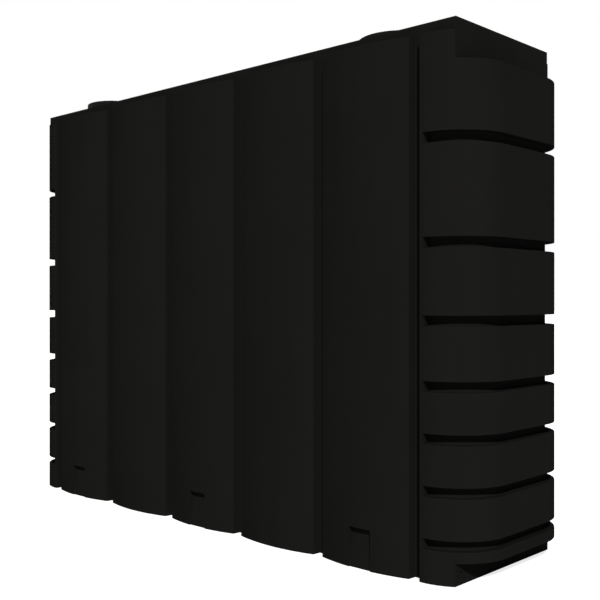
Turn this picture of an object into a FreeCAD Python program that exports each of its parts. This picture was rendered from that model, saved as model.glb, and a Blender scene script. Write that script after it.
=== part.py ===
import FreeCAD, Part
import math
import os

os.makedirs("parts", exist_ok=True)

Vector = FreeCAD.Vector

# Slimline water tank, moulded in one wall of polyethylene.
# X runs along its length, the front is at -Y, Z is up.
# The origin is the centre of the bottom face. Millimetres and degrees.

# The box under the ribs and bands: roof, webs and end walls follow it.
HEIGHT = 2150.0
BODY_L = 2820.0
BODY_W = 704.0
WALL = 8.0
FASCIA = 50.0

# Bowed vertical ribs on the two long sides, with a slot between neighbours.
# They fill the length between the corner columns.
RIB_COUNT = 5
COLUMN = 129.0
SLOT = 57.0
RIB_EDGE = 44.0
RIB_BOW = 31.0
FLANK_LEAN = 4.0

# Horizontal bands round each end, with a groove between neighbours.
# BAND_SHARES gives the steps from the foot lip to each groove and on to the
# head lip, as parts of the whole stack, so the stack follows the height.
END_OUT = 102.0
CORNER_R = 230.0
POST = 8.0
BAND_SHARES = [61, 200, 200, 200, 250, 300, 400, 293]
GROOVE_DEPTH = 38.0
GROOVE_W = 41.0
FOOT_HEIGHT = 87.0
FOOT_DROP = 26.0
HEAD_GAP = 109.0
HEAD_RISE = 26.0

# Hidden inner sides are laid in straight runs: each corner turn, and the
# bores of collars and lids.
INNER_RUNS = 3
BORE_SIDES = 24

# Flat pads for outlets in the foot of every second rib. They lean back, so
# they are shallow at the ground and deep under their top lip.
PAD_W = 108.0
PAD_H = 163.0
PAD_FOOT_SINK = 8.0
PAD_TOP_SINK = 20.0
PAD_CORNER_R = 5.0

# Manhole towards the right end, capped inlet towards the left end.
LINE_IN = 301.0
MANHOLE_IN = 491.0
MANHOLE_R = 180.0
MANHOLE_H = 57.0
INLET_IN = 236.0
INLET_R = 164.0
INLET_H = 79.0
NECK_GAP = 4.0
SKIRT_LIFT = 8.0

# Lines and planes that follow from the sizes above.
front = BODY_W / 2
end = BODY_L / 2
under_roof = HEIGHT - FASCIA
flank = end - COLUMN
rib_pitch = (2 * flank - SLOT) / RIB_COUNT
rib_half = (rib_pitch - SLOT) / 2
rib_front = front + RIB_EDGE
rib_crown = rib_front + RIB_BOW
rib_radius = (rib_half ** 2 + RIB_BOW ** 2) / (2 * RIB_BOW)
post_in = flank + POST
end_face = end + END_OUT
turn_x = end_face - CORNER_R
turn_y = rib_front - CORNER_R
head_lip = under_roof - HEAD_GAP
line_y = -(front - LINE_IN)
manhole_x = end - MANHOLE_IN
inlet_x = -(end - INLET_IN)


def box(x0, x1, y0, y1, z0, z1):
    return Part.makeBox(x1 - x0, y1 - y0, z1 - z0, Vector(x0, y0, z0))


def prism(edges, z0, z1):
    face = Part.Face(Part.Wire(edges))
    face.translate(Vector(0, 0, z0))
    return face.extrude(Vector(0, 0, z1 - z0))


def outline(points):
    return Part.makePolygon(points + [points[0]]).Edges


def line(a, b):
    return Part.LineSegment(Vector(*a), Vector(*b)).toShape()


def arc(a, b, c):
    return Part.Arc(Vector(*a), Vector(*b), Vector(*c)).toShape()


def to_back(shape):
    return shape.mirror(Vector(0, 0, 0), Vector(0, 1, 0))


def to_left(shape):
    return shape.mirror(Vector(0, 0, 0), Vector(1, 0, 0))


def groove_heights():
    scale = (head_lip - FOOT_HEIGHT) / sum(BAND_SHARES)
    heights = []
    z = FOOT_HEIGHT
    for share in BAND_SHARES[:-1]:
        z = z + share * scale
        heights.append(z)
    return heights


grooves = groove_heights()


def rib_x(i):
    return (i - (RIB_COUNT - 1) / 2) * rib_pitch


def bow_y(x, inset):
    # The bowed face of a rib, or a line inside it.
    radius = rib_radius - inset
    return -(rib_crown - rib_radius) - math.sqrt(radius ** 2 - x ** 2)


def rib_block(inset, z0, z1):
    # Plan of a rib, moved in by its wall or not, back to the inner side of the webs.
    half = rib_half - inset
    root = -(front - WALL)
    lean = FLANK_LEAN * (rib_front - front + WALL) / RIB_EDGE
    corner = bow_y(half, inset)
    crown = bow_y(0, inset)
    edges = [
        line((-half - lean, root, 0), (-half, corner, 0)),
        arc((-half, corner, 0), (0, crown, 0), (half, corner, 0)),
        line((half, corner, 0), (half + lean, root, 0)),
        line((half + lean, root, 0), (-half - lean, root, 0)),
    ]
    return prism(edges, z0, z1)


def pad_wedge(inset):
    # The space taken out of a rib by its leaning pad, or that space and its wall.
    # Its two top corners are rounded.
    half = PAD_W / 2 + inset
    top = PAD_H + inset
    ahead = -(rib_crown + inset + 1)
    low = -(rib_crown - PAD_FOOT_SINK) + inset
    high = -(rib_crown - PAD_TOP_SINK) + inset
    side = outline([
        Vector(-half, ahead, 0), Vector(-half, low, 0),
        Vector(-half, high, top), Vector(-half, ahead, top),
    ])
    wedge = Part.Face(Part.Wire(side)).extrude(Vector(2 * half, 0, 0))
    if inset > 0:
        return wedge
    corners = [e for e in wedge.Edges
               if e.BoundBox.ZMin > top - 1 and e.BoundBox.XLength < 1]
    return wedge.makeFillet(PAD_CORNER_R, corners)


def rib(with_pad):
    # A bowed channel, closed at the ground and at the top by its own shelves.
    shape = rib_block(0, 0, under_roof)
    hollow = rib_block(WALL, WALL, under_roof - WALL)
    root = -(front - WALL)
    mouth = hollow.BoundBox.XMax
    hollow = hollow.fuse(box(-mouth, mouth, root - 1, root + 1, WALL, under_roof - WALL))
    if with_pad:
        hollow = hollow.cut(pad_wedge(WALL))
        shape = shape.cut(pad_wedge(0))
    return shape.cut(hollow).removeSplitter()


def end_block(inset, z0, z1):
    # Plan of the right end inside its outline, moved in by a wall or not.
    x1 = end_face - inset
    y1 = rib_front - inset
    r = CORNER_R - inset
    k = r * math.sqrt(0.5)
    edges = [
        line((turn_x, y1, 0), (0, y1, 0)),
        line((0, y1, 0), (0, -y1, 0)),
        line((0, -y1, 0), (turn_x, -y1, 0)),
        arc((turn_x, -y1, 0), (turn_x + k, -turn_y - k, 0), (x1, -turn_y, 0)),
        line((x1, -turn_y, 0), (x1, turn_y, 0)),
        arc((x1, turn_y, 0), (turn_x + k, turn_y + k, 0), (turn_x, y1, 0)),
    ]
    return prism(edges, z0, z1)


def room(inset, z0, z1):
    # The space inside the right end, its turns laid in straight runs.
    r = CORNER_R - inset
    turn = []
    for i in range(INNER_RUNS + 1):
        a = math.radians(90.0 * i / INNER_RUNS)
        turn.append((turn_x + r * math.sin(a), turn_y + r * math.cos(a)))
    near = [Vector(x, -y, z0) for x, y in turn]
    far = [Vector(x, y, z0) for x, y in reversed(turn)]
    start = Vector(0, -turn_y - r, z0)
    stop = Vector(0, turn_y + r, z0)
    face = Part.Face(Part.Wire(outline([start] + near + far + [stop])))
    return face.extrude(Vector(0, 0, z1 - z0))


def wrap(section):
    # Carry a section round the right end. It is given as (depth from the
    # outline, height), and reaches in to the axis of the corner turns.
    points = [Vector(end_face - d, -turn_y, z) for d, z in section]
    face = Part.Face(Part.Wire(outline(points)))
    along = face.extrude(Vector(0, 2 * turn_y, 0))
    near = face.revolve(Vector(turn_x, -turn_y, 0), Vector(0, 0, 1), -90)
    side = face.rotated(Vector(turn_x, -turn_y, 0), Vector(0, 0, 1), -90)
    lead = side.extrude(Vector(-CORNER_R, 0, 0))
    block = along.fuse([near, lead, to_back(near), to_back(lead)])
    behind_post = box(0, post_in, -rib_crown, rib_crown, -HEIGHT, 2 * HEIGHT)
    return block.cut(behind_post).removeSplitter()


def band(number):
    # One hollow band: its outer wall, and a ledge below and above it.
    lowest = number == 0
    highest = number == len(grooves)
    deep = GROOVE_DEPTH + WALL
    low = FOOT_HEIGHT if lowest else grooves[number - 1] + GROOVE_W / 2
    high = head_lip if highest else grooves[number] - GROOVE_W / 2
    if lowest:
        below = [(CORNER_R, low - FOOT_DROP * CORNER_R / END_OUT)]
    else:
        below = [(CORNER_R, low)]
    if highest:
        above = [(CORNER_R, high + HEAD_RISE * CORNER_R / END_OUT)]
    else:
        above = [(CORNER_R, high)]
    shape = wrap([(0, low), (0, high)] + above + below)
    shape = shape.cut(room(WALL, low + WALL, high - WALL))
    within = end - WALL
    if lowest:
        shape = shape.cut(box(0, end, -rib_crown, rib_crown, -HEIGHT, low))
        inner = room(WALL, low - 1, low + 2 * WALL)
        shape = shape.cut(inner.common(
            box(0, within, -rib_crown, rib_crown, low - 2, low + 3 * WALL)))
    else:
        shape = shape.cut(room(deep, low - 1, low + 2 * WALL))
    if highest:
        shape = shape.cut(box(0, end, -rib_crown, rib_crown, high, 2 * HEIGHT))
        inner = room(WALL, high - 2 * WALL, high + 1)
        shape = shape.cut(inner.common(
            box(0, within, -rib_crown, rib_crown, high - 3 * WALL, high + 2)))
    else:
        shape = shape.cut(room(deep, high - 2 * WALL, high + 1))
    return shape


def channels():
    # The floors of the grooves, held between the ledges of the bands.
    rings = []
    for z in grooves:
        z0 = z - GROOVE_W / 2
        z1 = z + GROOVE_W / 2
        ring = end_block(GROOVE_DEPTH, z0, z1).cut(room(GROOVE_DEPTH + WALL, z0, z1))
        rings.append(ring.cut(box(-1, post_in, -rib_crown, rib_crown, z0, z1)))
    return Part.makeCompound(rings)


def flat_end(z0, z1, shelf_z):
    # The end wall where no band stands out: the corner turns cut off square,
    # with a shelf that closes each corner column at the ground or the roof.
    across = box(post_in, end, -rib_crown, rib_crown, z0, z1)
    within = box(post_in, end - WALL, -rib_crown, rib_crown, z0, z1)
    outer = end_block(0, z0, z1).common(across)
    wall = outer.cut(room(WALL, z0, z1).common(within))
    shelf = end_block(0, shelf_z, shelf_z + WALL)
    beside = box(post_in, end, front - WALL, rib_crown, shelf_z, shelf_z + WALL)
    shelf = shelf.common(beside.fuse(to_back(beside)))
    return wall.fuse(shelf).removeSplitter()


def post():
    # The flank of the last slot, a full-height strip on which the bands end.
    root = -(front - WALL)
    lean = FLANK_LEAN * (rib_front - front + WALL) / RIB_EDGE
    plan = outline([
        Vector(flank, -rib_front, 0), Vector(post_in, -rib_front, 0),
        Vector(post_in, root, 0), Vector(flank - lean, root, 0),
    ])
    return prism(plan, 0, under_roof)


def webs():
    # The bottoms of the slots, seated between the leaning flanks.
    outer = SLOT / 2 - FLANK_LEAN
    inner = outer - FLANK_LEAN * WALL / RIB_EDGE
    strips = []
    for i in range(RIB_COUNT + 1):
        x = (i - RIB_COUNT / 2) * rib_pitch
        plan = outline([
            Vector(x - outer, -front, 0), Vector(x + outer, -front, 0),
            Vector(x + inner, -(front - WALL), 0), Vector(x - inner, -(front - WALL), 0),
        ])
        strips.append(prism(plan, 0, under_roof))
    return Part.makeCompound(strips)


def floor():
    # A plate inside the walls, flush with the undersides of ribs and corners.
    return box(-(end - WALL), end - WALL, -(front - WALL), front - WALL, 0, WALL)


def neck_radius(lid_r):
    return lid_r - WALL - NECK_GAP


def disc(x, r, z0, z1):
    return Part.makeCylinder(r, z1 - z0, Vector(x, line_y, z0))


def bore(x, r, z0, z1):
    # A hidden upright bore with flat sides.
    corners = []
    for i in range(BORE_SIDES):
        a = 2 * math.pi * i / BORE_SIDES
        corners.append(Vector(x + r * math.cos(a), line_y + r * math.sin(a), 0))
    return prism(outline(corners), z0, z1)


def roof():
    # A slab with a square fascia, open below, with a hole for each neck.
    slab = box(-end, end, -front, front, under_roof, HEIGHT)
    slab = slab.cut(box(-(end - WALL), end - WALL, -(front - WALL), front - WALL,
                        under_roof - 1, HEIGHT - WALL))
    slab = slab.cut(disc(manhole_x, neck_radius(MANHOLE_R), under_roof, HEIGHT + 1))
    return slab.cut(disc(inlet_x, neck_radius(INLET_R), under_roof, HEIGHT + 1))


def collar(x, lid_r, lid_h):
    r = neck_radius(lid_r)
    top = HEIGHT + lid_h - WALL
    return disc(x, r, HEIGHT - WALL, top).cut(bore(x, r - WALL, HEIGHT - WALL, top))


def lid(x, lid_r, lid_h):
    top = HEIGHT + lid_h
    shape = disc(x, lid_r, HEIGHT + SKIRT_LIFT, top)
    return shape.cut(bore(x, lid_r - WALL, HEIGHT + SKIRT_LIFT, top - WALL))


pieces = {}
pieces["floor"] = floor()
pieces["roof"] = roof()
for i in range(RIB_COUNT):
    one = rib(i % 2 == 0)
    one.translate(Vector(rib_x(i), 0, 0))
    pieces["front_rib_%d" % (i + 1)] = one
    pieces["back_rib_%d" % (i + 1)] = to_back(one)
pieces["front_webs"] = webs()
pieces["back_webs"] = to_back(webs())
pieces["front_right_post"] = post()
pieces["front_left_post"] = to_left(post())
pieces["back_right_post"] = to_back(post())
pieces["back_left_post"] = to_back(to_left(post()))
for n in range(len(grooves) + 1):
    ring = band(n)
    pieces["right_band_%d" % (n + 1)] = ring
    pieces["left_band_%d" % (n + 1)] = to_left(ring)
pieces["right_channels"] = channels()
pieces["left_channels"] = to_left(channels())
foot = flat_end(0, FOOT_HEIGHT, 0)
head = flat_end(head_lip, under_roof, under_roof - WALL)
pieces["right_foot"] = foot
pieces["left_foot"] = to_left(foot)
pieces["right_head"] = head
pieces["left_head"] = to_left(head)
pieces["manhole_collar"] = collar(manhole_x, MANHOLE_R, MANHOLE_H)
pieces["manhole_lid"] = lid(manhole_x, MANHOLE_R, MANHOLE_H)
pieces["inlet_collar"] = collar(inlet_x, INLET_R, INLET_H)
pieces["inlet_cap"] = lid(inlet_x, INLET_R, INLET_H)

for name, shape in pieces.items():
    shape.exportStep("parts/%s.step" % name)
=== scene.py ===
import bpy
import bmesh
import math
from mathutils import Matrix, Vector


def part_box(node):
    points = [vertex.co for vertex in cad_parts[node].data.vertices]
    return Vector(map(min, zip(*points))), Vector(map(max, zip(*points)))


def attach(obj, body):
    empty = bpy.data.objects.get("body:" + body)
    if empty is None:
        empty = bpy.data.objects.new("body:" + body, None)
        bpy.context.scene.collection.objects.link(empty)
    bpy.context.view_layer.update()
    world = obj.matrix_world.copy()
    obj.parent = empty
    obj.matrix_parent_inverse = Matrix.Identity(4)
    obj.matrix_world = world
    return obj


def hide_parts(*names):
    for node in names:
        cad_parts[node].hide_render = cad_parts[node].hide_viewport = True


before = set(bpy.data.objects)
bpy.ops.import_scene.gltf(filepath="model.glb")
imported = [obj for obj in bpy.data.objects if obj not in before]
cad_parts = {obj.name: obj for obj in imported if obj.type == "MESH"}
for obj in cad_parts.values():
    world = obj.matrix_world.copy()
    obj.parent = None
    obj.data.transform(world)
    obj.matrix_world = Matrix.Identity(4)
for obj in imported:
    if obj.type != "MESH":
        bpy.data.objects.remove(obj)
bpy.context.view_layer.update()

# A slimline water tank, moulded in one wall. X runs along its length, the
# front is at -Y, Z is up. Sizes are millimetres and turn into metres in the
# meshes. Everything on the front is made again, mirrored, at the back.
MM = 0.001


def box_of(node):
    low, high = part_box(node)
    return [v / MM for v in low], [v / MM for v in high]


def count_of(stem):
    return sum(name.startswith(stem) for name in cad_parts)


# Sizes read from the frame.
roof_low, roof_high = box_of("roof")
END = roof_high[0]
FRONT = roof_high[1]
ROOF_LOW = roof_low[2]
ROOF_TOP = roof_high[2]

RIB_COUNT = count_of("front_rib_")
rib_low, rib_high = box_of("front_rib_1")
next_low = box_of("front_rib_2")[0]
post_low, post_high = box_of("front_right_post")
ROOT = -rib_high[1]
WALL = FRONT - ROOT
RIB_CROWN = -rib_low[1]
RIB_FRONT = -post_low[1]
POST_IN = post_high[0]
LEAN = (POST_IN - WALL - post_low[0]) / (RIB_FRONT - ROOT)

# The ribs are drawn a little wider and closer than the solids, the slots
# shallower, the lids wider and the grooves higher.
RIB_CLOSER = 1.5
RIB_WIDER = 1.5
POST_WIDER = 8.0
SLOT_BED = FRONT + 4.0
LID_WIDER = 3.0
GROOVE_LIFT = 1.6

RIB_PITCH = next_low[0] - rib_low[0] - RIB_CLOSER
POST_OUT = POST_IN - WALL - POST_WIDER
RIB_HALF = (rib_high[0] - rib_low[0]) / 2 - LEAN * (RIB_FRONT - ROOT) + RIB_WIDER
BOW = RIB_CROWN - RIB_FRONT
RIB_R = (RIB_HALF ** 2 + BOW ** 2) / (2 * BOW)

BAND_COUNT = count_of("right_band_")
bands = [box_of(f"right_band_{n + 1}") for n in range(BAND_COUNT)]
band_lows = [low[2] for low, high in bands]
band_highs = [high[2] for low, high in bands]
groove_lows = [z + GROOVE_LIFT for z in band_highs[:-1]]
groove_highs = [z + GROOVE_LIFT for z in band_lows[1:]]
END_FACE = bands[0][1][0]
LEDGE = END_FACE - END
FOOT_LIP = box_of("right_foot")[1][2]
HEAD_LIP = box_of("right_head")[0][2]
FOOT_FALL = (FOOT_LIP - band_lows[0]) / LEDGE
HEAD_FALL = (band_highs[-1] - HEAD_LIP) / LEDGE
CHANNEL = END_FACE - box_of("right_channels")[1][0]

# The corner turns of the ends.
TURN_R = 230.0
TURN_X = END_FACE - TURN_R
TURN_Y = RIB_FRONT - TURN_R

# The outlet pads: a flat bed, sunk from the rib's crown and deeper at its top.
PAD_HALF = 54.0
PAD_TOP = 163.0
PAD_LOW = 8.0
PAD_HIGH = 27.0
PAD_R = 5.0
PAD_WALL = 1.6

# A round hole, not cut through, low at either side of each end wall.
HOLE_Y = 316.0
HOLE_Z = 43.0
HOLE_R = 9.0
HOLE_DEPTH = 20.0
HOLE_WALL = 1.2

# Rounded edges of the moulding.
FLANK_R = 2.0
SLOT_R = 3.0
BASE_R = 0.5
RIB_TOP_R = 4.0
GROOVE_ROOF_R = 1.0
GROOVE_SILL_R = 3.0
GROOVE_BED_R = 5.0
HEAD_LIP_R = 6.0
FOOT_LIP_R = 3.0
END_CORNER_R = 1.0
ROOF_EDGE_R = 1.5
ROOF_CORNER_R = 1.5

# A rib's rounded top fades out over this depth, in front of the roof's edge.
TOP_FADE = 14.0

# A stretch beside a rounded corner, where only its direction counts.
RUN = 20.0

# Spacing of the mesh lines. Fine ones reach a little past a hole or pad, and
# into the pad up to where its rounded corners end.
FINE_STEP = 0.5
HOLE_PAST = 1.5
PAD_PAST = 2.0
PAD_BEFORE = 1.0
PAD_FIRST_ROW = 10.0
PAD_STEP = 9.0
COLUMN_STEP = 12.0
WALL_STEP = 60.0
FIRST_ROW = 60.0
ROW_STEP = 120.0
COLUMN_TURN = 0.045
TURN_STEPS = 28
FLAT_STEPS = 8


# Materials

def plastic(name, dark, light, rough, gloss, mottle):
    """Moulded plastic: two close tones, uneven sheen, and a fine grain."""
    mat = bpy.data.materials.new(name)
    mat.use_nodes = True
    nodes = mat.node_tree.nodes
    link = mat.node_tree.links.new
    bsdf = nodes["Principled BSDF"]
    bsdf.inputs["Specular IOR Level"].default_value = gloss
    coords = nodes.new("ShaderNodeTexCoord")

    # Cloudy mottling, blended with streaks that run up and down.
    broad = nodes.new("ShaderNodeTexNoise")
    broad.inputs["Scale"].default_value = mottle
    broad.inputs["Detail"].default_value = 4.0
    link(coords.outputs["Object"], broad.inputs["Vector"])

    stretch = nodes.new("ShaderNodeMapping")
    stretch.inputs["Scale"].default_value = (9.0, 9.0, 0.7)
    link(coords.outputs["Object"], stretch.inputs["Vector"])
    flow = nodes.new("ShaderNodeTexNoise")
    flow.inputs["Scale"].default_value = 1.6
    flow.inputs["Detail"].default_value = 3.0
    link(stretch.outputs["Vector"], flow.inputs["Vector"])

    blend = nodes.new("ShaderNodeMix")
    blend.inputs["Factor"].default_value = 0.4
    link(broad.outputs["Fac"], blend.inputs["A"])
    link(flow.outputs["Fac"], blend.inputs["B"])
    tone = nodes.new("ShaderNodeValToRGB")
    tone.color_ramp.elements[0].position = 0.3
    tone.color_ramp.elements[0].color = (*dark, 1)
    tone.color_ramp.elements[1].position = 0.7
    tone.color_ramp.elements[1].color = (*light, 1)
    link(blend.outputs["Result"], tone.inputs["Fac"])
    link(tone.outputs["Color"], bsdf.inputs["Base Color"])

    sheen = nodes.new("ShaderNodeMapRange")
    sheen.inputs["To Min"].default_value = rough - 0.05
    sheen.inputs["To Max"].default_value = rough + 0.07
    link(broad.outputs["Fac"], sheen.inputs["Value"])
    link(sheen.outputs["Result"], bsdf.inputs["Roughness"])

    grain = nodes.new("ShaderNodeTexNoise")
    grain.inputs["Scale"].default_value = 420.0
    link(coords.outputs["Object"], grain.inputs["Vector"])
    bump = nodes.new("ShaderNodeBump")
    bump.inputs["Strength"].default_value = 0.2
    bump.inputs["Distance"].default_value = 0.0001
    link(grain.outputs["Fac"], bump.inputs["Height"])
    link(bump.outputs["Normal"], bsdf.inputs["Normal"])
    return mat


body_mat = plastic("tank_plastic", (0.0114, 0.0112, 0.0105), (0.0132, 0.0130, 0.0123),
                   0.68, 0.0, 2.2)
neck_mat = plastic("neck_plastic", (0.0105, 0.0104, 0.0100), (0.0125, 0.0124, 0.0120),
                   0.60, 0.03, 6.0)
lid_mat = plastic("lid_plastic", (0.0112, 0.0113, 0.0116), (0.0128, 0.0129, 0.0133),
                  0.50, 0.02, 8.0)


# Mesh helpers

# Edges stay sharp above these angles, in degrees. The two least lengths are in
# metres: closer points are joined, and shorter edges taken out.
BODY_SHARP = 32.0
LID_SHARP = 30.0
SAME_POINT = 3e-6
NO_LENGTH = 2e-6


def finish_mesh(name, bm, replaced, mat, sharp=BODY_SHARP):
    """Cleans a mesh, smooths it up to a sharp angle, and puts it in the node's place."""
    bmesh.ops.remove_doubles(bm, verts=bm.verts, dist=SAME_POINT)
    bmesh.ops.dissolve_degenerate(bm, edges=bm.edges, dist=NO_LENGTH)
    bmesh.ops.recalc_face_normals(bm, faces=bm.faces)
    mesh = bpy.data.meshes.new(name)
    bm.to_mesh(mesh)
    bm.free()
    for face in mesh.polygons:
        face.use_smooth = True
    mesh.set_sharp_from_angle(angle=math.radians(sharp))
    obj = bpy.data.objects.new(name, mesh)
    bpy.context.scene.collection.objects.link(obj)
    mesh.materials.append(mat)
    even = obj.modifiers.new("even_normals", "WEIGHTED_NORMAL")
    even.keep_sharp = True
    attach(obj, "root")
    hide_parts(replaced)


def add_sweep(bm, rings, sx=1, sy=1):
    """Closed rings of points, skinned one to the next, with both ends closed."""
    loops = []
    for ring in rings:
        loops.append([bm.verts.new((x * MM * sx, y * MM * sy, z * MM)) for x, y, z in ring])
    count = len(rings[0])
    for a, b in zip(loops, loops[1:]):
        for i in range(count):
            j = (i + 1) % count
            bm.faces.new((a[i], a[j], b[j], b[i]))
    bm.faces.new(loops[0])
    bm.faces.new(loops[-1])


def rounded(points, radii, steps):
    """A line of 2-D points with each inner corner turned into an arc."""
    out = [points[0]]
    for k, r in enumerate(radii, 1):
        corner = Vector(points[k])
        u = (Vector(points[k - 1]) - corner).normalized()
        v = (Vector(points[k + 1]) - corner).normalized()
        half = math.acos(max(-1, min(1, u.dot(v)))) / 2
        centre = corner + (u + v).normalized() * (r / math.sin(half))
        a = corner + u * (r / math.tan(half)) - centre
        b = corner + v * (r / math.tan(half)) - centre
        turn = math.atan2(a.x * b.y - a.y * b.x, a.dot(b))
        for i in range(steps + 1):
            c = math.cos(turn * i / steps)
            s = math.sin(turn * i / steps)
            out.append((centre.x + a.x * c - a.y * s, centre.y + a.x * s + a.y * c))
    out.append(points[-1])
    return out


def smooth(t):
    """0 below 0, 1 above 1, and an S curve between."""
    t = max(0.0, min(1.0, t))
    return t * t * (3 - 2 * t)


def spread(low, high, step):
    """Even places from low to high, about a step apart."""
    count = max(1, round((high - low) / step))
    return [low + (high - low) * i / count for i in range(count + 1)]


def quarter(radius, steps=4):
    """Pairs (height above the edge, inset) of an edge rounded upward from 0."""
    pairs = []
    for i in range(steps + 1):
        a = math.pi / 2 * i / steps
        pairs.append((radius * (1 - math.cos(a)), radius * (1 - math.sin(a))))
    return pairs


def quarter_under(top, radius):
    """The same pairs for an edge that is rounded downward from a top height."""
    return [(top - z, inset) for z, inset in reversed(quarter(radius))]


def normals_of(plan):
    """Outward directions of an open line of 2-D points."""
    out = []
    for i in range(len(plan)):
        x0, y0 = plan[max(i - 1, 0)]
        x1, y1 = plan[min(i + 1, len(plan) - 1)]
        out.append(Vector((y1 - y0, x0 - x1)).normalized())
    return out


# Ribs of the long sides

def bow(x):
    """The front's curve across a rib, at a distance x from its middle."""
    return RIB_R - RIB_CROWN - math.sqrt(RIB_R ** 2 - x ** 2)


def pad_share(x, z):
    """1 inside the pad, 0 outside, with a steep wall between them."""
    qx = abs(x) - PAD_HALF + PAD_R
    qz = z - PAD_TOP + PAD_R
    away = math.hypot(max(qx, 0), max(qz, 0)) + min(max(qx, qz), 0) - PAD_R
    return 1 - smooth(away / PAD_WALL + 0.5)


def rib_columns(with_pad):
    """Places across a rib's face, close together at the walls of a pad."""
    edge = RIB_HALF - FLANK_R
    if not with_pad:
        return spread(-edge, edge, COLUMN_STEP)
    flat = PAD_HALF - PAD_R - PAD_BEFORE
    past = PAD_HALF + PAD_PAST
    right = spread(flat, past, FINE_STEP)[1:] + spread(past, edge, COLUMN_STEP)[1:]
    return [-x for x in reversed(right)] + spread(-flat, flat, PAD_STEP) + right


def rib_rows(with_pad):
    """Pairs (height, inset) up a rib or post, close together at the top of a pad."""
    top = ROOF_LOW - RIB_TOP_R
    heights = spread(FIRST_ROW, top, ROW_STEP)
    if with_pad:
        fine = PAD_TOP - PAD_R - PAD_BEFORE
        heights = spread(PAD_FIRST_ROW, fine - 3, PAD_STEP)
        heights += spread(fine, PAD_TOP + PAD_PAST, FINE_STEP)
        heights += spread(PAD_TOP + COLUMN_STEP, top, ROW_STEP)
    return quarter(BASE_R) + [(z, 0) for z in heights] + quarter_under(ROOF_LOW, RIB_TOP_R)[1:]


def rib_rings(with_pad):
    foot = RIB_HALF + LEAN * (RIB_FRONT - ROOT)
    columns = rib_columns(with_pad)
    bend = rounded([(-foot, -ROOT), (-RIB_HALF, -RIB_FRONT), (columns[1], bow(columns[1]))],
                   [FLANK_R], 6)[:-1]
    bend.insert(1, (-foot + LEAN * WALL, -FRONT))
    plan = bend + [(x, bow(x)) for x in columns[1:-1]] + [(-x, y) for x, y in reversed(bend)]
    outward = normals_of(plan)
    rings = []
    for z, inset in rib_rows(with_pad):
        bed = PAD_LOW + (PAD_HIGH - PAD_LOW) * z / PAD_TOP - RIB_CROWN
        ring = []
        for (x, y), n in zip(plan, outward):
            if with_pad:
                y = y + (bed - y) * pad_share(x, z)
            pull = inset * smooth((-FRONT - y) / TOP_FADE)
            ring.append((x - n.x * pull, y - n.y * pull, z))
        rings.append(ring)
    return rings


def make_ribs():
    plain = rib_rings(False)
    padded = rib_rings(True)
    for i in range(RIB_COUNT):
        rings = padded if i % 2 == 0 else plain
        shift = (i - (RIB_COUNT - 1) / 2) * RIB_PITCH
        moved = [[(x + shift, y, z) for x, y, z in ring] for ring in rings]
        for side, sy in (("front", 1), ("back", -1)):
            bm = bmesh.new()
            add_sweep(bm, moved, 1, sy)
            name = f"{side}_rib_{i + 1}"
            finish_mesh(name + "_skin", bm, name, body_mat)


# Slot floors between the ribs, and the posts on which the bands end

def strip_plan(number):
    """A slot floor that turns up against the flank on either side."""
    rise = 12.0
    splay = LEAN * rise + 0.4
    reach = RIB_HALF + LEAN * (RIB_FRONT - SLOT_BED)
    post = POST_OUT - LEAN * (RIB_FRONT - SLOT_BED)
    left = (number - (RIB_COUNT + 1) / 2) * RIB_PITCH + reach
    right = (number - (RIB_COUNT - 1) / 2) * RIB_PITCH - reach
    left = -post if number == 0 else left
    right = post if number == RIB_COUNT else right
    line = rounded([(left - splay, -SLOT_BED - rise), (left, -SLOT_BED),
                    (right, -SLOT_BED), (right + splay, -SLOT_BED - rise)],
                   [SLOT_R, SLOT_R], 6)
    return line + [(right - 1, -ROOT), (left + 1, -ROOT)]


def post_rings():
    foot = POST_OUT - LEAN * (RIB_FRONT - ROOT)
    plan = rounded([(foot, -ROOT), (POST_OUT, -RIB_FRONT), (POST_IN, -RIB_FRONT)],
                   [FLANK_R], 6)
    plan.append((POST_IN, -ROOT))
    rings = []
    for z, inset in rib_rows(False):
        rings.append([(x, y + inset * smooth((-FRONT - y) / TOP_FADE), z) for x, y in plan])
    return rings


def make_sides():
    for side, sy in (("front", 1), ("back", -1)):
        bm = bmesh.new()
        for k in range(RIB_COUNT + 1):
            plan = strip_plan(k)
            add_sweep(bm, [[(x, y, z) for x, y in plan] for z in (0, ROOF_LOW)], 1, sy)
        finish_mesh(side + "_webs_skin", bm, side + "_webs", body_mat)
        for hand, sx in (("right", 1), ("left", -1)):
            bm = bmesh.new()
            add_sweep(bm, post_rings(), sx, sy)
            name = f"{side}_{hand}_post"
            finish_mesh(name + "_skin", bm, name, body_mat)


# Bands and grooves round the ends

def stations():
    """Places round an end: (kind, share), from the front post to the back one."""
    near = [("near", i / TURN_STEPS) for i in range(TURN_STEPS + 1)]
    flat = [("flat", i / FLAT_STEPS) for i in range(1, FLAT_STEPS)]
    far = [("far", 1 - i / TURN_STEPS) for i in range(TURN_STEPS + 1)]
    return near + flat + far


def azimuth(share, r):
    """Direction of a place on a corner turn of radius r, which starts at the post."""
    first = math.asin((POST_IN - TURN_X) / r)
    return first + (math.pi / 2 - first) * share


def place(station, d, z):
    """A point at depth d inside the end's outline."""
    kind, share = station
    if kind == "flat":
        return (END_FACE - d, TURN_Y * (2 * share - 1), z)
    r = TURN_R - d
    a = azimuth(share, r)
    x = TURN_X + r * math.sin(a)
    y = TURN_Y + r * math.cos(a)
    return (x, -y if kind == "near" else y, z)


def shelf_depth(station):
    """How deep an outer ledge runs at this station before it meets the end wall."""
    kind, share = station
    if kind == "flat":
        return LEDGE
    return max(0.001, TURN_R - (END - TURN_X) / math.sin(azimuth(share, TURN_R)))


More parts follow.
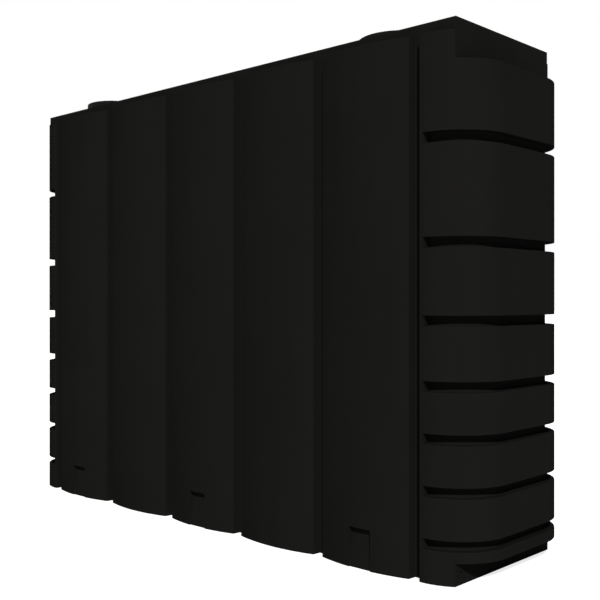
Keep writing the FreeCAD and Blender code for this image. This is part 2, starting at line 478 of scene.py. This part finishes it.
def lip(station, z, fall, radius):
    """An outer ledge, seen as (depth, height): a rounded lip, then an even slope."""
    depth = shelf_depth(station)
    side = math.copysign(RUN, fall)
    return rounded([(0, z - side), (0, z), (depth, z + fall * depth)],
                   [min(radius, depth)], 6)


def band_rings(number):
    """A band's section at every station, drawn from its lower edge to its upper one."""
    lowest = number == 0
    highest = number == BAND_COUNT - 1
    low = FOOT_LIP if lowest else groove_highs[number - 1]
    high = HEAD_LIP if highest else groove_lows[number]
    deep = CHANNEL + WALL
    rings = []
    for station in stations():
        if lowest:
            below = lip(station, low, -FOOT_FALL, FOOT_LIP_R)[:0:-1]
            reach = below[0][0] + WALL
            inner = [(reach, low + WALL), (reach, below[0][1])]
        else:
            below = rounded([(deep, low), (0, low), (0, low + RUN)], [GROOVE_ROOF_R], 4)[:-1]
            inner = []
        if highest:
            above = lip(station, high, HEAD_FALL, HEAD_LIP_R)[1:]
            reach = above[-1][0] + WALL
            inner = [(reach, above[-1][1]), (reach, high - WALL)] + inner
        else:
            above = rounded([(0, high - RUN), (0, high), (deep, high)], [GROOVE_SILL_R], 5)[1:]
        ring = below + above + inner
        rings.append([place(station, d, z) for d, z in ring])
    return rings


def groove_rings(low, high):
    """A groove's floor, with hollow corners that tuck in behind the bands."""
    tuck = 0.8
    run = CHANNEL - 9
    line = rounded([(run, low - tuck), (CHANNEL, low), (CHANNEL, high), (run, high + tuck)],
                   [GROOVE_BED_R, GROOVE_BED_R], 5)
    line += [(CHANNEL + WALL, high + tuck), (CHANNEL + WALL, low - tuck)]
    return [[place(station, d, z) for d, z in line] for station in stations()]


def make_bands():
    for hand, sx in (("right", 1), ("left", -1)):
        for n in range(BAND_COUNT):
            bm = bmesh.new()
            add_sweep(bm, band_rings(n), sx)
            name = f"{hand}_band_{n + 1}"
            finish_mesh(name + "_skin", bm, name, body_mat)
        bm = bmesh.new()
        for low, high in zip(groove_lows, groove_highs):
            add_sweep(bm, groove_rings(low, high), sx)
        finish_mesh(hand + "_channels_skin", bm, hand + "_channels", body_mat)


# Flat ends below and above the bands, with their corner columns

def around_hole(middle):
    """Close places across a hole, along the end wall or up it."""
    reach = HOLE_R + HOLE_PAST
    return spread(middle - reach, middle + reach, FINE_STEP)


def end_plan():
    """Plan of an end wall between its two columns, from the front post to the back."""
    first = math.asin((POST_IN - TURN_X) / TURN_R)
    last = math.asin((END - TURN_X) / TURN_R)
    turn = []
    for a in spread(first, last, COLUMN_TURN):
        turn.append((TURN_X + TURN_R * math.sin(a), -TURN_Y - TURN_R * math.cos(a)))
    corner = turn[-1][1]
    line = turn[:-1] + rounded([turn[-2], (END, corner), (END, 0)], [END_CORNER_R], 5)[1:-1]
    fine = around_hole(HOLE_Y)
    wall = [-y for y in reversed(fine)] + spread(-fine[0], fine[0], WALL_STEP)[1:-1] + fine
    return line + [(END, y) for y in wall] + [(x, -y) for x, y in reversed(line)]


def hole_depth(y, z):
    """How far the end wall is pushed in at a place by the nearer hole."""
    away = math.hypot(abs(y) - HOLE_Y, z - HOLE_Z) - HOLE_R
    return HOLE_DEPTH * (1 - smooth(away / HOLE_WALL + 0.5))


def end_rings(rows):
    plan = end_plan()
    outward = normals_of(plan)
    rings = []
    for z, inset in rows:
        ring = []
        for (x, y), n in zip(plan, outward):
            ring.append((x - n.x * inset - hole_depth(y, z), y - n.y * inset, z))
        rings.append(ring)
    return rings


def make_ends():
    foot = quarter(BASE_R) + [(z, 0) for z in around_hole(HOLE_Z) + [FOOT_LIP]]
    head = [(HEAD_LIP, 0), (ROOF_LOW, 0)]
    for hand, sx in (("right", 1), ("left", -1)):
        for part, rows in (("foot", foot), ("head", head)):
            bm = bmesh.new()
            add_sweep(bm, end_rings(rows), sx)
            name = f"{hand}_{part}"
            finish_mesh(name + "_skin", bm, name, body_mat)


# Roof

def roof_rings():
    x = END - ROOF_CORNER_R
    y = FRONT - ROOF_CORNER_R
    rings = []
    for z, inset in [(ROOF_LOW, 0)] + quarter_under(ROOF_TOP, ROOF_EDGE_R):
        r = ROOF_CORNER_R - inset
        ring = []
        for cx, cy, start in ((x, -y, -90), (x, y, 0), (-x, y, 90), (-x, -y, 180)):
            for turn in range(0, 91, 15):
                a = math.radians(start + turn)
                ring.append((cx + r * math.cos(a), cy + r * math.sin(a), z))
        rings.append(ring)
    return rings


def make_roof():
    bm = bmesh.new()
    add_sweep(bm, roof_rings())
    finish_mesh("roof_skin", bm, "roof", body_mat)


# Lids and the necks under them

LID_EDGE_R = 4.0
LID_SEGMENTS = 240
RIM = 26.0
RIM_SLOPE = 4.0
DISH = 5.0
BOSS = 47.0
BOSS_SLOPE = 5.0
BOSS_DROP = 1.5
FLUTE_DEPTH = 2.5

NECK_SEGMENTS = 128
THREAD_START = 14.0
THREAD_PITCH = 12.0
THREAD_RISE = 2.0


def add_turned(bm, cx, cy, profile, segments, flute=None):
    """A profile of (radius, height) turned about an upright axis."""
    columns = []
    for i in range(segments):
        a = 2 * math.pi * i / segments
        column = []
        for k, (r, z) in enumerate(profile):
            r = r - (flute(a, k) if flute else 0)
            column.append(bm.verts.new(((cx + r * math.cos(a)) * MM,
                                        (cy + r * math.sin(a)) * MM, z * MM)))
        columns.append(column)
    for i in range(segments):
        a = columns[i]
        b = columns[(i + 1) % segments]
        for k in range(len(profile) - 1):
            bm.faces.new((a[k], b[k], b[k + 1], a[k + 1]))


def lid_profile(radius, top):
    """Underside, skirt, rounded rim, and a sunk top with a raised centre."""
    skirt = ROOF_TOP + WALL
    inside = radius - WALL
    ceiling = top - WALL - 4
    under = [(0.0, ceiling), (inside, ceiling), (inside, skirt)]
    outer = rounded([(radius, skirt), (radius, top), (radius - RUN, top)], [LID_EDGE_R], 6)[:-1]
    outer.insert(1, (radius, skirt + 3))
    edge = radius - RIM
    dish = top - DISH
    rim = rounded([(edge + 4, top), (edge, top), (edge - RIM_SLOPE, dish), (edge - 34, dish)],
                  [2.0, 2.5], 3)
    foot = BOSS + BOSS_SLOPE
    boss = top - BOSS_DROP
    middle = rounded([(foot + 8, dish), (foot, dish), (BOSS, boss), (BOSS - 27, boss)],
                     [2.5, 2.5], 3)
    return under + outer + rim + middle + [(0.0, boss)], len(under)


def flutes(count, first, last):
    """Shallow flutes round a skirt, between two points of the profile."""
    def cut(a, k):
        if k < first or k > last:
            return 0.0
        wave = 0.5 - 0.5 * math.cos(a * count)
        return FLUTE_DEPTH * smooth((wave - 0.55) / 0.3)
    return cut


def neck_profile(r, low, high):
    """A neck with a spread foot on the roof and rounds of thread above it."""
    profile = [(r - WALL, low), (r + 5, low)]
    profile += [(r + out, ROOF_TOP + up) for out, up in ((5, 0), (3, 1.2), (1, 3.5), (0, 7))]
    turn = ROOF_TOP + THREAD_START
    while turn + 9 < high:
        profile += [(r, turn), (r + THREAD_RISE, turn + 2.5), (r + THREAD_RISE, turn + 4.5),
                    (r, turn + 7)]
        turn += THREAD_PITCH
    return profile + [(r, high), (r - WALL, high), (r - WALL, low)]


def make_neck(lid_node, collar_node, flute_count):
    low, high = box_of(lid_node)
    cx = (low[0] + high[0]) / 2
    cy = (low[1] + high[1]) / 2
    profile, first = lid_profile((high[0] - low[0]) / 2 + LID_WIDER, high[2])
    bm = bmesh.new()
    add_turned(bm, cx, cy, profile, LID_SEGMENTS, flutes(flute_count, first, first + 2))
    finish_mesh(lid_node + "_skin", bm, lid_node, lid_mat, LID_SHARP)

    low, high = box_of(collar_node)
    profile = neck_profile((high[0] - low[0]) / 2, low[2], high[2])
    bm = bmesh.new()
    add_turned(bm, cx, cy, profile, NECK_SEGMENTS)
    finish_mesh(collar_node + "_skin", bm, collar_node, neck_mat, LID_SHARP)


# Floor and world: white where they are seen, dim where they only light the tank

FLOOR_SIZE = 160.0
FLOOR_TONE = 0.6
FLOOR_SHOWN = 0.80
FLOOR_GLOW = 0.05
SKY = 0.07


def shown_directly(nodes, link):
    """1 for rays from the camera and for those seen in gloss or through glass."""
    path = nodes.new("ShaderNodeLightPath")
    total = path.outputs["Is Camera Ray"]
    for kind in ("Is Glossy Ray", "Is Transmission Ray"):
        add = nodes.new("ShaderNodeMath")
        add.operation = "ADD"
        add.use_clamp = True
        link(total, add.inputs[0])
        link(path.outputs[kind], add.inputs[1])
        total = add.outputs[0]
    return total


def make_floor():
    bpy.ops.mesh.primitive_plane_add(size=FLOOR_SIZE)
    ground = bpy.context.object
    ground.name = "studio_floor"
    mat = bpy.data.materials.new("studio_floor")
    mat.use_nodes = True
    nodes = mat.node_tree.nodes
    link = mat.node_tree.links.new
    nodes.clear()
    out = nodes.new("ShaderNodeOutputMaterial")
    diffuse = nodes.new("ShaderNodeBsdfDiffuse")
    diffuse.inputs["Color"].default_value = (FLOOR_TONE, FLOOR_TONE, FLOOR_TONE, 1)
    strength = nodes.new("ShaderNodeMapRange")
    strength.inputs["To Min"].default_value = FLOOR_GLOW
    strength.inputs["To Max"].default_value = FLOOR_SHOWN
    link(shown_directly(nodes, link), strength.inputs["Value"])
    glow = nodes.new("ShaderNodeEmission")
    link(strength.outputs["Result"], glow.inputs["Strength"])
    both = nodes.new("ShaderNodeAddShader")
    link(diffuse.outputs[0], both.inputs[0])
    link(glow.outputs[0], both.inputs[1])
    link(both.outputs[0], out.inputs["Surface"])
    ground.data.materials.append(mat)


def make_world():
    world = bpy.data.worlds.new("studio")
    bpy.context.scene.world = world
    world.use_nodes = True
    nodes = world.node_tree.nodes
    link = world.node_tree.links.new
    nodes.clear()
    out = nodes.new("ShaderNodeOutputWorld")
    soft = nodes.new("ShaderNodeBackground")
    soft.inputs["Color"].default_value = (1, 1, 1, 1)
    soft.inputs["Strength"].default_value = SKY
    white = nodes.new("ShaderNodeBackground")
    white.inputs["Color"].default_value = (1, 1, 1, 1)
    mix = nodes.new("ShaderNodeMixShader")
    link(shown_directly(nodes, link), mix.inputs[0])
    link(soft.outputs[0], mix.inputs[1])
    link(white.outputs[0], mix.inputs[2])
    link(mix.outputs[0], out.inputs["Surface"])


# Lamps: strength, and in degrees width, turn from the front and height. The key
# stands to the right of the front and well up, a weak wide one fills the slots
# from lower down, and a third lights the back.
LAMPS = (("key", 2.6, 2.0, 44.7, 39.0),
         ("fill", 0.15, 40.0, 30.0, 20.0),
         ("back", 1.6, 15.0, 215.0, 35.0))


def make_lamps():
    for name, energy, width, turn, rise in LAMPS:
        sun = bpy.data.lights.new(name, "SUN")
        sun.energy = energy
        sun.angle = math.radians(width)
        lamp = bpy.data.objects.new(name, sun)
        bpy.context.scene.collection.objects.link(lamp)
        lamp.rotation_euler = (math.radians(90 - rise), 0, math.radians(turn))


# The camera looks level from mid height, off the front right corner, in metres.
EYE = (3.3319, -3.2524, 1.0797)
EYE_TURN = 43.2326
LENS = 54.71
SENSOR = 36.0


def make_camera():
    cam = bpy.data.cameras.new("camera")
    cam.lens = LENS
    cam.sensor_width = SENSOR
    eye = bpy.data.objects.new("camera", cam)
    bpy.context.scene.collection.objects.link(eye)
    eye.location = EYE
    eye.rotation_euler = (math.radians(90), 0, math.radians(EYE_TURN))
    bpy.context.scene.camera = eye


make_ribs()
make_sides()
make_bands()
make_ends()
make_roof()
make_neck("manhole_lid", "manhole_collar", 24)
make_neck("inlet_cap", "inlet_collar", 20)

under_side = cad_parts["floor"]
under_side.data.materials.clear()
under_side.data.materials.append(body_mat)

make_floor()
make_world()
make_lamps()
make_camera()
bpy.context.scene.view_settings.view_transform = "Standard"
